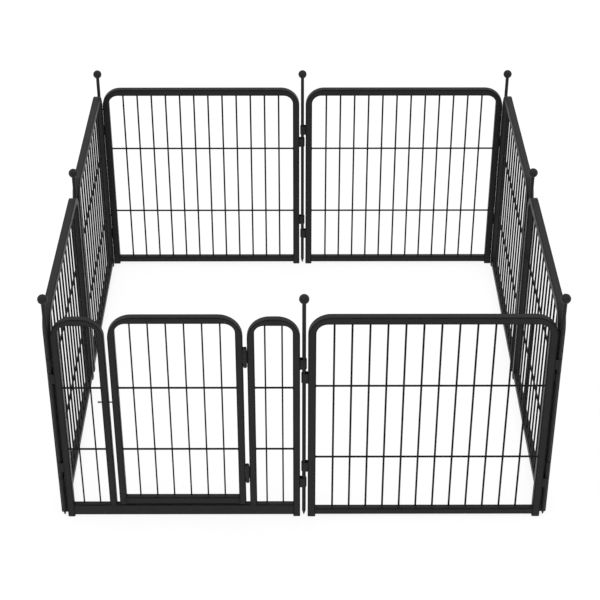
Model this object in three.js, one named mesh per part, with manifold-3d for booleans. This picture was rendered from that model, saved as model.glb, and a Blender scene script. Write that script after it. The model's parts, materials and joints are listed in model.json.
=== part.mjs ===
// Pet playpen: a square ring of wire panels, two on each side, pinned together by ball-topped
// stakes. The panel at the front left carries a gate. Millimetres, +Z up. The origin is on the
// floor at the centre of the square, and the gate faces -Y.

import * as THREE from "three";
import { mergeVertices } from "three/addons/utils/BufferGeometryUtils.js";
import Module from "manifold-3d";

const wasm = await Module();
wasm.setup();

// ---- The ring ----
const stakePitch = 610; // from one stake's axis to the next; a side of the square has two
const panelHeight = 610; // floor to the top of a panel
const seat = 0.3; // gap left between pieces that rest against or are welded to each other
const weldDepth = 0.8; // how far a welded strap or web runs into a tube's wall
const wall = 1.2; // sheet thickness of every tube
const edge = 1.5; // the small chamfer that stands for a square tube's rounded edge
const bendSteps = 5; // flats in a quarter bend

// ---- Stakes ----
const stakeRadius = 4.75;
const stakeTip = 14; // length of the point at the bottom
const ballRadius = 12.25;
const ballAbovePanel = 47; // ball centre above the top of the panels
const stakeSides = 12;
const ballSteps = 3; // flats in each half of the ball's outline

// ---- Strap loops: a strip bent round the stake, both ends welded to the leg ----
const strapPlay = 0.5; // round the stake
const strapThickness = 1.5;
const strapHeight = 28;
const highStraps = { low: 107.5, drop: 137.5 }; // centre heights: low from the floor, drop from the top
const nearStraps = { low: 158.5, drop: 178.5 }; // the set that nests between the first

// ---- Plain panels ----
const plainTube = 19.5;
const cornerLap = 0.25; // how far legs at a corner reach past each other, within their chamfers
const stakeToLeg = plainTube / 2 - cornerLap; // stake axis to the outer face of the leg beside it
const plainBend = 52; // outer radius of the two top bends
const plainRail = { bottom: 6.5, height: 18.5, depth: 16.5 };
const plainWires = { low: 189.5, drop: 202 }; // cross wires, from the floor and from the top
const plainUprights = { radius: 2.5, pitch: 42.4 };

// ---- Wires ----
const crossRadius = 2.5; // radius of every cross wire
const wireEndGap = 23; // least room between a leg and the upright wire beside it
const wireSides = 6;
const wireSink = 0.3; // how far a cross wire is pressed into the upright ones

// ---- Door panel: two arches on one rail, with the gate between them ----
const doorTube = 17.5;
const archDrop = 6; // the arches stop this far below the panels' top
const archBend = 45;
const doorRail = { bottom: 5.5, height: 32, depth: 15.5 };
const doorWires = { low: 214.5, drop: 207.5 };
const gateUprights = { radius: 2, pitch: 42.8 };
const archUprights = { radius: 2, pitch: 41 };

// ---- Gate ----
const gateWidth = 320;
const gateBend = 53;
const latchGap = 8; // arch to gate, on the latch side
const hingeGap = 10; // gate to arch, on the hinge side
const gateLift = 3.5; // gate legs above the door rail
const gateRail = { height: 21, depth: 15.5 };

// ---- Gate hinges: three knuckles on one headed pin, low and high on the gate ----
const hingePinRadius = 2;
const pinPlay = 0.4; // between a pin and its bore
const knuckleRadius = 4.6;
const postKnuckle = 37; // height of the middle knuckle
const gateKnuckle = 9; // height of the knuckle above it and of the one below it
const pinHead = { radius: 4, height: 1.5 };
const hingeHeights = { low: 142, drop: 113 };
const pinSides = 10;

// ---- Latch: a plain bolt through the arch's post ----
const latchPinRadius = 2;
const latchTravel = 4;
const latchHead = { radius: 2.6, length: 6.3 };
const latchCollar = { radius: 3.8, length: 3 };
const latchClear = 0.8; // nose to gate when the bolt is drawn back
const latchNose = 1; // length of the nose's bevel
const latchBelowWire = 44.5; // bolt axis below the upper cross wires

// ---- Plug feet ----
const footFlange = 3;
const footStem = 12;

// ---- Sizes that follow ----
const panelWidth = stakePitch - 2 * stakeToLeg;
const archWidth = (panelWidth - gateWidth - latchGap - hingeGap) / 2;
const legBottom = footFlange + seat;
const latchHeight = panelHeight - doorWires.drop - latchBelowWire;

// ---- Solids and geometry ----

function solidOf(geometry) {
  geometry.deleteAttribute("normal");
  geometry.deleteAttribute("uv");
  const merged = mergeVertices(geometry, 1e-3);
  const corners = [...merged.index.array];
  const kept = [];
  for (let i = 0; i < corners.length; i += 3) {
    const [a, b, c] = corners.slice(i, i + 3);
    if (a !== b && b !== c && c !== a) kept.push(a, b, c);
  }
  const mesh = new wasm.Mesh({
    numProp: 3,
    vertProperties: merged.attributes.position.array,
    triVerts: new Uint32Array(kept),
  });
  return new wasm.Manifold(mesh);
}

function geometryOf(solid) {
  const mesh = solid.getMesh();
  const geometry = new THREE.BufferGeometry();
  geometry.setAttribute("position", new THREE.BufferAttribute(mesh.vertProperties, 3));
  geometry.setIndex(new THREE.BufferAttribute(mesh.triVerts, 1));
  geometry.computeVertexNormals();
  return geometry;
}

function joined(solids) {
  return solids.reduce((whole, part) => whole.add(part));
}

// A rectangle with its four corners cut off, centred on the origin.
function chamferedOutline(width, depth, cut) {
  const x = width / 2;
  const y = depth / 2;
  return [
    new THREE.Vector2(x, -y + cut),
    new THREE.Vector2(x, y - cut),
    new THREE.Vector2(x - cut, y),
    new THREE.Vector2(-x + cut, y),
    new THREE.Vector2(-x, y - cut),
    new THREE.Vector2(-x, -y + cut),
    new THREE.Vector2(-x + cut, -y),
    new THREE.Vector2(x - cut, -y),
  ];
}

function rectangle(width, depth) {
  const x = width / 2;
  const y = depth / 2;
  return [
    new THREE.Vector2(-x, -y),
    new THREE.Vector2(x, -y),
    new THREE.Vector2(x, y),
    new THREE.Vector2(-x, y),
  ];
}

function tubeShape(width, depth) {
  const shape = new THREE.Shape(chamferedOutline(width, depth, edge));
  shape.holes.push(new THREE.Path(rectangle(width - 2 * wall, depth - 2 * wall)));
  return shape;
}

// The centre line of an upside-down U in the XZ plane. It is sampled only at the ends of its
// straight runs and at each step of its two bends.
class ArchLine extends THREE.Curve {
  constructor(halfSpan, bottom, top, radius) {
    super();
    this.stations = [this.station(-halfSpan, bottom, 0, 1)];
    this.addBend(-halfSpan + radius, top - radius, radius, Math.PI);
    this.addBend(halfSpan - radius, top - radius, radius, Math.PI / 2);
    this.stations.push(this.station(halfSpan, bottom, 0, -1));
    this.steps = this.stations.length - 1;
  }

  station(x, z, alongX, alongZ) {
    return {
      point: new THREE.Vector3(x, 0, z),
      tangent: new THREE.Vector3(alongX, 0, alongZ),
    };
  }

  addBend(x, z, radius, startAngle) {
    for (let i = 0; i <= bendSteps; i += 1) {
      const angle = startAngle - ((Math.PI / 2) * i) / bendSteps;
      const cos = Math.cos(angle);
      const sin = Math.sin(angle);
      this.stations.push(this.station(x + radius * cos, z + radius * sin, sin, -cos));
    }
  }

  getPointAt(share) {
    return this.stations[Math.round(share * this.steps)].point.clone();
  }

  getTangentAt(share) {
    return this.stations[Math.round(share * this.steps)].tangent.clone();
  }
}

// An arch is { width, bottom, top, tube, bend }, measured over the outside and centred on X = 0.
function archSolid(arch) {
  const half = arch.tube / 2;
  const line = new ArchLine(arch.width / 2 - half, arch.bottom, arch.top - half, arch.bend - half);
  const geometry = new THREE.ExtrudeGeometry(tubeShape(arch.tube, arch.tube), {
    steps: line.steps,
    extrudePath: line,
    bevelEnabled: false,
  });
  return solidOf(geometry);
}

// Height of the underside of an arch's top bar, or of its bend, at a distance from its middle.
function archUnderside(arch, distance) {
  const intoBend = distance - (arch.width / 2 - arch.bend);
  if (intoBend <= 0) return arch.top - arch.tube;
  const inner = (arch.bend - arch.tube) * Math.cos(Math.PI / 4 / bendSteps);
  return arch.top - arch.bend + Math.sqrt(Math.max(inner ** 2 - intoBend ** 2, 0));
}

// ---- Bars ----

// A hollow bar lying along X, centred on X = 0 and Y = 0.
function railSolid(length, rail, bottom) {
  const shape = new THREE.Shape(rectangle(rail.height, rail.depth));
  shape.holes.push(new THREE.Path(rectangle(rail.height - 2 * wall, rail.depth - 2 * wall)));
  const geometry = new THREE.ExtrudeGeometry(shape, { depth: length, bevelEnabled: false });
  geometry.translate(0, 0, -length / 2);
  geometry.rotateY(Math.PI / 2);
  geometry.translate(0, 0, bottom + rail.height / 2);
  return solidOf(geometry);
}

// The rail between an arch's two legs.
function railInside(arch, rail, bottom) {
  return railSolid(arch.width - 2 * arch.tube - 2 * seat, rail, bottom);
}

// A square plug foot: the flange is on the floor and the stem is up inside the leg.
function footSolid(tube) {
  const flange = new THREE.ExtrudeGeometry(new THREE.Shape(chamferedOutline(tube, tube, edge)), {
    depth: footFlange,
    bevelEnabled: false,
  });
  const stemWidth = tube - 2 * wall - 2 * seat;
  const stem = new THREE.BoxGeometry(stemWidth, stemWidth, footStem + 1);
  stem.translate(0, 0, footFlange - 1 + (footStem + 1) / 2);
  return joined([solidOf(flange), solidOf(stem)]);
}

// ---- Wire grids ----

function uprightWire(radius, x, y, low, high) {
  const turn = Math.PI / wireSides; // flats face front and back
  const wire = new THREE.CylinderGeometry(radius, radius, high - low, wireSides, 1, false, turn);
  wire.rotateX(Math.PI / 2);
  wire.translate(x, y, (low + high) / 2);
  return solidOf(wire);
}

function crossWire(length, y, z) {
  const wire = new THREE.CylinderGeometry(crossRadius, crossRadius, length, wireSides);
  wire.rotateZ(Math.PI / 2);
  wire.translate(0, y, z);
  return solidOf(wire);
}

// Wires that fill an arch from a rail's top to the top bar, centred. The upright ones are on the
// inside of the pen and two cross wires on the outside, so that the mesh is in the tube's middle.
function gridSolid(arch, bottom, uprights, cross) {
  const clearWidth = arch.width - 2 * arch.tube;
  const count = Math.floor((clearWidth - 2 * wireEndGap) / uprights.pitch) + 1;
  const flats = (uprights.radius + crossRadius) * Math.cos(Math.PI / wireSides);
  const inset = (flats - wireSink) / 2;
  const solids = [];
  for (let i = 0; i < count; i += 1) {
    const x = (i - (count - 1) / 2) * uprights.pitch;
    const high = archUnderside(arch, Math.abs(x) + uprights.radius) - seat;
    solids.push(uprightWire(uprights.radius, x, inset, bottom + seat, high));
  }
  for (const z of [cross.low, panelHeight - cross.drop]) {
    solids.push(crossWire(clearWidth - 2 * seat, -inset, z));
  }
  return joined(solids);
}

// ---- Strap loops ----

// One loop round a stake whose axis is at the origin; its ends run to the leg at -X.
function strapSolid(z) {
  const inner = stakeRadius + strapPlay;
  const outer = inner + strapThickness;
  const reach = stakeToLeg + weldDepth;
  const shape = new THREE.Shape();
  shape.moveTo(-reach, -outer);
  shape.lineTo(0, -outer);
  shape.absarc(0, 0, outer, -Math.PI / 2, Math.PI / 2, false);
  shape.lineTo(-reach, outer);
  shape.lineTo(-reach, inner);
  shape.lineTo(0, inner);
  shape.absarc(0, 0, inner, Math.PI / 2, -Math.PI / 2, true);
  shape.lineTo(-reach, -inner);
  const geometry = new THREE.ExtrudeGeometry(shape, {
    depth: strapHeight,
    bevelEnabled: false,
    curveSegments: 3,
  });
  geometry.translate(0, 0, z - strapHeight / 2);
  return geometry;
}

// The two loops on a leg; side is +1 at the panel's right-hand stake and -1 at its left-hand one.
function strapPair(side, set) {
  const stakeX = (side * stakePitch) / 2;
  return [set.low, panelHeight - set.drop].map((z) => {
    const geometry = strapSolid(z);
    if (side < 0) geometry.rotateZ(Math.PI);
    geometry.translate(stakeX, 0, 0);
    return solidOf(geometry);
  });
}

// ---- Gate hinges ----

function barrel(radius, low, high) {
  const geometry = new THREE.CylinderGeometry(radius, radius, high - low, pinSides);
  geometry.rotateX(Math.PI / 2);
  geometry.translate(0, 0, (low + high) / 2);
  return geometry;
}

// A knuckle on the hinge axis, with a web to the tube on its side: -1 the gate, +1 the arch.
function knuckleSolid(side, low, high) {
  const bore = hingePinRadius + pinPlay;
  const reach = hingeGap / 2 + weldDepth;
  const web = new THREE.BoxGeometry(reach, knuckleRadius - edge, high - low);
  web.translate((side * reach) / 2, (knuckleRadius + edge) / 2, (low + high) / 2);
  const body = solidOf(barrel(knuckleRadius, low, high)).add(solidOf(web));
  return body.subtract(solidOf(barrel(bore, low - 1, high + 1)));
}

function moved(solid, x, y, z) {
  return solidOf(geometryOf(solid).translate(x, y, z));
}

const hingeX = panelWidth / 2 - archWidth - hingeGap / 2;
const hingeY = -doorTube / 2; // the hinge axis lies in the plane of the arches' front faces
const hingeCentres = [hingeHeights.low, panelHeight - hingeHeights.drop];

function postKnuckles() {
  return hingeCentres.map((z) => {
    const half = postKnuckle / 2;
    return moved(knuckleSolid(1, z - half, z + half), hingeX, hingeY, 0);
  });
}

function gateKnuckles() {
  const near = postKnuckle / 2 + seat;
  return hingeCentres.flatMap((z) => [
    moved(knuckleSolid(-1, z + near, z + near + gateKnuckle), hingeX, hingeY, 0),
    moved(knuckleSolid(-1, z - near - gateKnuckle, z - near), hingeX, hingeY, 0),
  ]);
}

// A shape turned about Z; the outline lists [radius, height] from the axis back to the axis.
function turned(outline, sides) {
  const points = outline.map(([radius, height]) => new THREE.Vector2(radius, height));
  const geometry = new THREE.LatheGeometry(points, sides);
  geometry.rotateX(Math.PI / 2);
  return geometry;
}

function hingePinSolid(z) {
  const shaft = postKnuckle / 2 + gateKnuckle + 2 * seat;
  const end = shaft + pinHead.height;
  const geometry = turned([
    [0, -end],
    [pinHead.radius, -end],
    [pinHead.radius, -shaft],
    [hingePinRadius, -shaft],
    [hingePinRadius, shaft],
    [pinHead.radius, shaft],
    [pinHead.radius, end],
    [0, end],
  ], pinSides);
  geometry.translate(hingeX, hingeY, z);
  return solidOf(geometry);
}

// ---- Latch ----

const postRight = -panelWidth / 2 + archWidth; // right face of the left arch's inner leg
const postLeft = postRight - doorTube;

function latchPinSolid() {
  const headEnd = -latchTravel - seat;
  const collarStart = wall + seat;
  const collarEnd = collarStart + latchCollar.length;
  const noseEnd = doorTube + latchGap - latchClear;
  const geometry = turned([
    [0, headEnd - latchHead.length],
    [latchHead.radius, headEnd - latchHead.length],
    [latchHead.radius, headEnd],
    [latchPinRadius, headEnd],
    [latchPinRadius, collarStart],
    [latchCollar.radius, collarStart],
    [latchCollar.radius, collarEnd],
    [latchPinRadius, collarEnd],
    [latchPinRadius, noseEnd - latchNose],
    [latchPinRadius - latchNose / 2, noseEnd],
    [0, noseEnd],
  ], pinSides);
  geometry.rotateY(Math.PI / 2);
  geometry.translate(postLeft, 0, latchHeight);
  return solidOf(geometry);
}

// The hole that the bolt needs, from one X to another.
function latchBore(from, to) {
  const geometry = barrel(latchPinRadius + pinPlay, 0, to - from);
  geometry.rotateY(Math.PI / 2);
  geometry.translate(from, 0, latchHeight);
  return solidOf(geometry);
}

// ---- Meshes ----

const finishes = {
  coat: { color: 0x2b2b2d, roughness: 0.45, metalness: 0.3 },
  plug: { color: 0x161617, roughness: 0.7, metalness: 0 },
  zinc: { color: 0x9c9d9f, roughness: 0.35, metalness: 0.9 },
};

function mesh(name, geometry, finish, x = 0, y = 0, z = 0) {
  const made = new THREE.Mesh(geometry, new THREE.MeshStandardMaterial(finishes[finish]));
  made.name = name;
  made.position.set(x, y, z);
  return made;
}

// ---- Plain panel ----

const plainArch = {
  width: panelWidth,
  bottom: legBottom,
  top: panelHeight,
  tube: plainTube,
  bend: plainBend,
};
const plainParts = {
  frame: joined([
    archSolid(plainArch),
    ...strapPair(1, highStraps),
    ...strapPair(-1, nearStraps),
  ]),
  rail: railInside(plainArch, plainRail, plainRail.bottom),
  grid: gridSolid(plainArch, plainRail.bottom + plainRail.height, plainUprights, plainWires),
  foot: footSolid(plainTube),
};

function plainPanel(name) {
  const panel = new THREE.Group();
  const footX = (panelWidth - plainTube) / 2;
  panel.add(
    mesh(`${name}_frame`, geometryOf(plainParts.frame), "coat"),
    mesh(`${name}_bottom_rail`, geometryOf(plainParts.rail), "coat"),
    mesh(`${name}_wire_grid`, geometryOf(plainParts.grid), "coat"),
    mesh(`${name}_foot_a`, geometryOf(plainParts.foot), "plug", -footX),
    mesh(`${name}_foot_b`, geometryOf(plainParts.foot), "plug", footX),
  );
  return panel;
}

// ---- Door panel ----

// The outer leg of an arch reaches its foot and its inner leg stands on the door rail.
function doorArch(side) {
  const arch = {
    width: archWidth,
    bottom: legBottom,
    top: panelHeight - archDrop,
    tube: doorTube,
    bend: archBend,
  };
  const centre = (side * (panelWidth - archWidth)) / 2;
  const railTop = doorRail.bottom + doorRail.height;
  const cut = new THREE.BoxGeometry(doorTube + 2, doorTube + 2, railTop + seat);
  const innerLeg = (-side * (archWidth - doorTube)) / 2;
  cut.translate(innerLeg, 0, (railTop + seat) / 2);
  const frame = moved(archSolid(arch).subtract(solidOf(cut)), centre, 0, 0);
  return { frame, centre, grid: gridSolid(arch, railTop, archUprights, doorWires) };
}

const gateArch = {
  width: gateWidth,
  bottom: doorRail.bottom + doorRail.height + gateLift,
  top: panelHeight,
  tube: doorTube,
  bend: gateBend,
};
const gateCentre = postRight + latchGap + gateWidth / 2;

function gateFrameSolid() {
  const frame = moved(archSolid(gateArch), gateCentre, 0, 0);
  const gateLeft = gateCentre - gateWidth / 2;
  const whole = joined([frame, ...gateKnuckles()]);
  return whole.subtract(latchBore(gateLeft - 1, gateLeft + doorTube / 2));
}

function doorPanel() {
  const panel = new THREE.Group();
  const left = doorArch(-1);
  const right = doorArch(1);
  const leftFrame = joined([left.frame, ...strapPair(-1, nearStraps)]);
  const rightFrame = joined([right.frame, ...strapPair(1, highStraps), ...postKnuckles()]);
  const bored = leftFrame.subtract(latchBore(postLeft - 1, postRight + 1));
  const outside = { width: panelWidth, tube: doorTube };
  const foot = footSolid(doorTube);
  const footX = (panelWidth - doorTube) / 2;
  const gateRailTop = gateArch.bottom + gateRail.height;
  panel.add(
    mesh("door_left_arch", geometryOf(bored), "coat"),
    mesh("door_right_arch", geometryOf(rightFrame), "coat"),
    mesh("door_bottom_rail", geometryOf(railInside(outside, doorRail, doorRail.bottom)), "coat"),
    mesh("door_left_wires", geometryOf(left.grid), "coat", left.centre),
    mesh("door_right_wires", geometryOf(right.grid), "coat", right.centre),
    mesh("door_foot_a", geometryOf(foot), "plug", -footX),
    mesh("door_foot_b", geometryOf(foot), "plug", footX),
    mesh("gate_frame", geometryOf(gateFrameSolid()), "coat"),
    mesh("gate_bottom_rail",
      geometryOf(railInside(gateArch, gateRail, gateArch.bottom)), "coat", gateCentre),
    mesh("gate_wire_grid",
      geometryOf(gridSolid(gateArch, gateRailTop, gateUprights, doorWires)), "coat", gateCentre),
    mesh("gate_hinge_pin_lower", geometryOf(hingePinSolid(hingeCentres[0])), "coat"),
    mesh("gate_hinge_pin_upper", geometryOf(hingePinSolid(hingeCentres[1])), "coat"),
    mesh("latch_pin", geometryOf(latchPinSolid()), "zinc"),
  );
  return panel;
}

// ---- Stakes ----

// A pointed rod with a ball on top, standing on the floor.
function stakeSolid() {
  const ballZ = panelHeight + ballAbovePanel;
  const neck = Math.asin(stakeRadius / ballRadius); // half angle that the rod takes of the ball
  const outline = [[0, 0], [stakeRadius, stakeTip]];
  const addArc = (from, to, first) => {
    for (let i = first; i <= ballSteps; i += 1) {
      const angle = from + ((to - from) * i) / ballSteps;
      outline.push([ballRadius * Math.sin(angle), ballZ - ballRadius * Math.cos(angle)]);
    }
  };
  addArc(neck, Math.PI / 2, 0);
  addArc(Math.PI / 2, Math.PI, 1);
  outline[outline.length - 1][0] = 0; // the last point is on the axis exactly
  return solidOf(turned(outline, stakeSides));
}

// ---- The whole ring, side by side, anticlockwise from the front ----

const panelNames = [
  ["door", "front_right"],
  ["right_front", "right_back"],
  ["back_right", "back_left"],
  ["left_back", "left_front"],
];
const stakeNames = [
  ["front_left_stake", "front_middle_stake"],
  ["front_right_stake", "right_middle_stake"],
  ["back_right_stake", "back_middle_stake"],
  ["back_left_stake", "left_middle_stake"],
];

const playpen = new THREE.Group();
const stake = stakeSolid();
for (let side = 0; side < panelNames.length; side += 1) {
  const row = new THREE.Group();
  row.rotation.z = (side * Math.PI) / 2;
  for (const half of [0, 1]) {
    const name = panelNames[side][half];
    const panel = name === "door" ? doorPanel() : plainPanel(name);
    panel.position.set((half - 0.5) * stakePitch, -stakePitch, 0);
    const stakeX = (half - 1) * stakePitch;
    row.add(panel, mesh(stakeNames[side][half], geometryOf(stake), "coat", stakeX, -stakePitch));
  }
  playpen.add(row);
}

export default playpen;
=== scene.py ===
# %% [markdown]
# # A pet playpen in powder-coated steel
# The pen is a square ring of eight wire panels, two on each side, pinned together by eight
# ball-topped stakes. One panel carries a gate. The engineering model already fixes every size,
# joint and place. This lesson gives each piece a fine mesh of the same size, a finish, and a
# plain studio. Lengths are in metres, +Z is up, and the gate faces -Y.

import json
import math

import bmesh
import bpy
from mathutils import Matrix, Vector


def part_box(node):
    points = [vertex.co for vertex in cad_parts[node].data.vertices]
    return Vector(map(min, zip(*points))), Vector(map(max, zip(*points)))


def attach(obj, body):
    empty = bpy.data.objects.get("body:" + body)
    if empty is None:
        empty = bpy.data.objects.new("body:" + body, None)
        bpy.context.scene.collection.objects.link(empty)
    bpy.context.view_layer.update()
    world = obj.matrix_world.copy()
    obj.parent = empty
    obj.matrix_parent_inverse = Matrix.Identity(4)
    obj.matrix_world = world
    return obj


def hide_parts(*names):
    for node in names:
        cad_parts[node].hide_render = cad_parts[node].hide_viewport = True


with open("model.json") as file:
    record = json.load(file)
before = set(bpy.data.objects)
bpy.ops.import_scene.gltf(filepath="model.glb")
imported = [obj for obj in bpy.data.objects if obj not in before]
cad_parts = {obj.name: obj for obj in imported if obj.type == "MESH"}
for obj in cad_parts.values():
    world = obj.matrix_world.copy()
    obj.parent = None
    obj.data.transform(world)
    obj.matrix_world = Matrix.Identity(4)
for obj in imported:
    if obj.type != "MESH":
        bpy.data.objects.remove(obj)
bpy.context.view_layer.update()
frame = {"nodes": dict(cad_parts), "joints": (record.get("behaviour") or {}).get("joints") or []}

# %% [markdown]
# ## Sizes
# A fine mesh has to fit where the plain one was, so its sizes are read from the engineering
# model's boxes and joints. What a box can't say, such as a wall or a weld, is a named value here.

# %% Sizes read from the frame
MM = 0.001


def size_of(node):
    low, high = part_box(node)
    return high - low


def centre_of(node):
    low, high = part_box(node)
    return (low + high) / 2


joint_places = {}
for joint in frame["joints"]:
    if "pos_m" in joint:
        joint_places[joint["name"]] = Vector(joint["pos_m"])
stake_pitch = joint_places["front_right_seam"].x - joint_places["front_middle_seam"].x
panel_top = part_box("front_right_frame")[1].z
leg_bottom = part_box("front_right_frame")[0].z
plain_tube = size_of("front_right_foot_a").x
door_tube = size_of("door_foot_a").x
seat = 0.3 * MM  # the gap that the engineering model leaves at each welded joint
panel_width = size_of("front_right_bottom_rail").x + 2 * (plain_tube + seat)
stake_to_leg = (stake_pitch - panel_width) / 2
print("stake pitch", round(stake_pitch, 4), "panel", round(panel_width, 4), "by", round(panel_top, 4))

# %% Sizes that the boxes can't give
tube_wall = 1.2 * MM
tube_corner = 1.8 * MM  # radius along a square tube's edges, and along a rail's
plain_bend = (55 * MM, 28 * MM)  # outer and inner radius of a plain panel's top bends
arch_bend = (55 * MM, 23 * MM)
gate_bend = (59 * MM, 27 * MM)
cross_radius = 2.5 * MM  # radius of every cross wire
wire_end_gap = 23 * MM  # least room between a leg and the upright wire beside it
wire_sink = 0.4 * MM  # how far crossing wires are pressed into each other
plain_uprights = (2.5 * MM, 42.4 * MM)  # radius, and the distance from one to the next
gate_uprights = (2 * MM, 42.8 * MM)
arch_uprights = (2 * MM, 41 * MM)
strap_heights_far = (107.5 * MM, 472.5 * MM)  # centres of the loops on one leg
strap_heights_near = (158.5 * MM, 431.5 * MM)  # and of those that nest between them
strap_height = 28 * MM
strap_thickness = 1.5 * MM
stake_radius = 4.75 * MM
ball_radius = 12.25 * MM
strap_bore = 5.25 * MM
print("wires:", plain_uprights, gate_uprights, arch_uprights)
print("loops at", strap_heights_far, "and", strap_heights_near)

# %% [markdown]
# ## Skins from rings
# Nearly every piece here is a section carried along a line: a tube, a wire, a bead of weld or a
# turned knob. A curve object with a bevel could do some of them. Rings of points joined by quads
# do all of them, and they allow a section that changes as it goes, such as a tube that dishes in
# at its bends. A number stored on each point, its mark, says how far it is into a corner. The
# finish reads it later, to paint shade along corners and round wires, and to wear the coat paler
# in patches.

# %% Join rings of points into a skin
def loft(mesh, rings, marks=None, closed=False, capped=True):
    """Joins rings of points, each with as many points, and returns the new points row by row."""
    # The mark is kept in this layer. The finish paints shade along corners and round bars from it, and
    # wears the coat paler in patches.
    layer = mesh.verts.layers.float.get("rub_and_shade") or mesh.verts.layers.float.new("rub_and_shade")
    rows = [[mesh.verts.new(point) for point in ring] for ring in rings]
    for row in rows:
        for i, point in enumerate(row):
            point[layer] = marks[i] if marks else 0.0
    pairs = list(zip(rows, rows[1:]))
    if closed:
        pairs.append((rows[-1], rows[0]))
    for row, following in pairs:
        for i in range(len(row)):
            after = (i + 1) % len(row)
            mesh.faces.new((row[i], row[after], following[after], following[i]))
    if capped and not closed:
        mesh.faces.new(rows[0][::-1])
        mesh.faces.new(rows[-1])
    return rows


# %% The outline of a square tube
edge_band = 1.9 * MM  # how far a corner's mark fades out over the flat beside it
corner_steps = 4
# a mark of 0.6 or more takes the full painted corner shade
round_mark = 0.6  # the mark at a corner's ends, and all round a thin bar


def rounded_outline(width, depth, radius):
    """Points round a rectangle with rounded corners, and a mark for each: 1 amid a corner."""
    points = []
    marks = []
    for quarter, (sign_x, sign_y) in enumerate(((1, 1), (-1, 1), (-1, -1), (1, -1))):
        centre_x = sign_x * (width / 2 - radius)
        centre_y = sign_y * (depth / 2 - radius)
        for i in range(corner_steps + 1):
            angle = math.pi / 2 * (quarter + i / corner_steps)
            points.append((centre_x + radius * math.cos(angle), centre_y + radius * math.sin(angle)))
            marks.append(round_mark + (1 - round_mark) * math.sin(math.pi * i / corner_steps))
        flat = width - 2 * radius if quarter % 2 == 0 else depth - 2 * radius
        along = Vector((-sign_x, 0)) if quarter % 2 == 0 else Vector((0, -sign_y))
        start = Vector(points[-1])
        band = min(edge_band, flat / 3)
        for distance in (band, flat / 2, flat - band):
            points.append(tuple(start + along * distance))
            marks.append(0.0)
    return points, marks


print("points round a tube:", len(rounded_outline(plain_tube, plain_tube, tube_corner)[0]))


# %% Round bars and turned pieces
def circle(centre, side, other, radius, sides):
    steps = [2 * math.pi * i / sides for i in range(sides)]
    return [centre + (side * math.cos(a) + other * math.sin(a)) * radius for a in steps]


def turned_rings(outline, sides, place):
    """A ring about Z for each (radius, height), moved to its place."""
    rings = []
    for radius, height in outline:
        ring = circle(Vector((0, 0, height)), Vector((1, 0, 0)), Vector((0, 1, 0)), radius, sides)
        rings.append([place @ point for point in ring])
    return rings


def rod(mesh, start, end, radii, sides=14):
    """A round bar from start to end, with a ring for each (share of the length, radius)."""
    start = Vector(start)
    along = Vector(end) - start
    side = along.orthogonal().normalized()
    other = along.normalized().cross(side)
    rings = [circle(start + along * share, side, other, radius, sides) for share, radius in radii]
    # a round bar is marked all round, so its whole surface takes the painted corner shade
    loft(mesh, rings, [round_mark] * sides)


def lathe(mesh, outline, sides=32, place=Matrix.Identity(4), mark=0.0):
    """Turns (radius, height) points about Z; the first and the last lie on the axis."""
    rings = turned_rings(outline[1:-1], sides, place)
    rows = loft(mesh, rings, [mark] * sides, capped=False)
    for row, (_, height) in ((rows[0], outline[0]), (rows[-1], outline[-1])):
        tip = mesh.verts.new(place @ Vector((0, 0, height)))
        for i in range(sides):
            mesh.faces.new((row[i], row[(i + 1) % sides], tip))


def turned_ring(mesh, outline, place, sides=32):
    """Turns a closed outline that stays off the axis, such as a knuckle with its bore."""
    loft(mesh, turned_rings(outline, sides, place), closed=True)


# %% [markdown]
# ## Weld beads
# Rails, straps and hinge plates are welded on before the paint. A fillet weld is a small roll of
# metal with a ripple for each pulse of the torch. It could be a bump in the paint, but a real
# roll catches light at the joint and hides the gap between the pieces, so it is a mesh.

# %% A rippled bead and a collar round a wire's end
bead_step = 1.6 * MM
bead_valley = 0.84  # a bead's radius between two ripples, as a share of its radius on one
bead_end = 0.55  # and at its two ends
# A collar's rings: each is (millimetres from the wire's end, share of the wire's radius).
collar_profile = ((0.0, 1.75), (0.35, 1.45), (0.9, 1.12), (1.8, 1.0))


def weld_bead(mesh, start, end, radius):
    start = Vector(start)
    along = Vector(end) - start
    length = along.length
    side = along.orthogonal().normalized()
    other = along.normalized().cross(side)
    ripples = 2 * max(3, round(length / bead_step))
    rings = []
    for i in range(ripples + 1):
        swell = bead_valley if i % 2 else 1.0
        taper = bead_end if i in (0, ripples) else 1.0
        rings.append(circle(start + along * i / ripples, side, other, radius * swell * taper, 8))
    loft(mesh, rings)


def wire_collar(mesh, foot, along, radius):
    """The small fillet of metal where a wire's end is welded to a rail or a tube."""
    along = Vector(along)
    side = along.orthogonal().normalized()
    other = along.cross(side)
    rings = [circle(Vector(foot) + along * high * MM, side, other, radius * wide, 14)
             for high, wide in collar_profile]
    loft(mesh, rings)


print("ripples in a centimetre of weld:", round(10 * MM / bead_step, 1))

# %% [markdown]
# ## Finishes
# Everything but the bolt and the feet has the same satin black powder coat. Powder melts into a
# skin with a faint orange peel, and it shows dust on upward faces. Shade is painted on it, darker
# along corners and round wires. The peel, the rubbing with its painted corner shade, and the dust
# are node groups, and each finish sets its own values.

# %% A helper for node groups
def shader_group(name, inputs, outputs):
    group = bpy.data.node_groups.new(name, "ShaderNodeTree")
    for label, kind, value in inputs:
        socket = group.interface.new_socket(name=label, in_out="INPUT", socket_type=kind)
        if value is not None:
            socket.default_value = value
    for label in outputs:
        group.interface.new_socket(name=label, in_out="OUTPUT", socket_type="NodeSocketFloat")
    return group, group.nodes.new("NodeGroupInput"), group.nodes.new("NodeGroupOutput")


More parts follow.
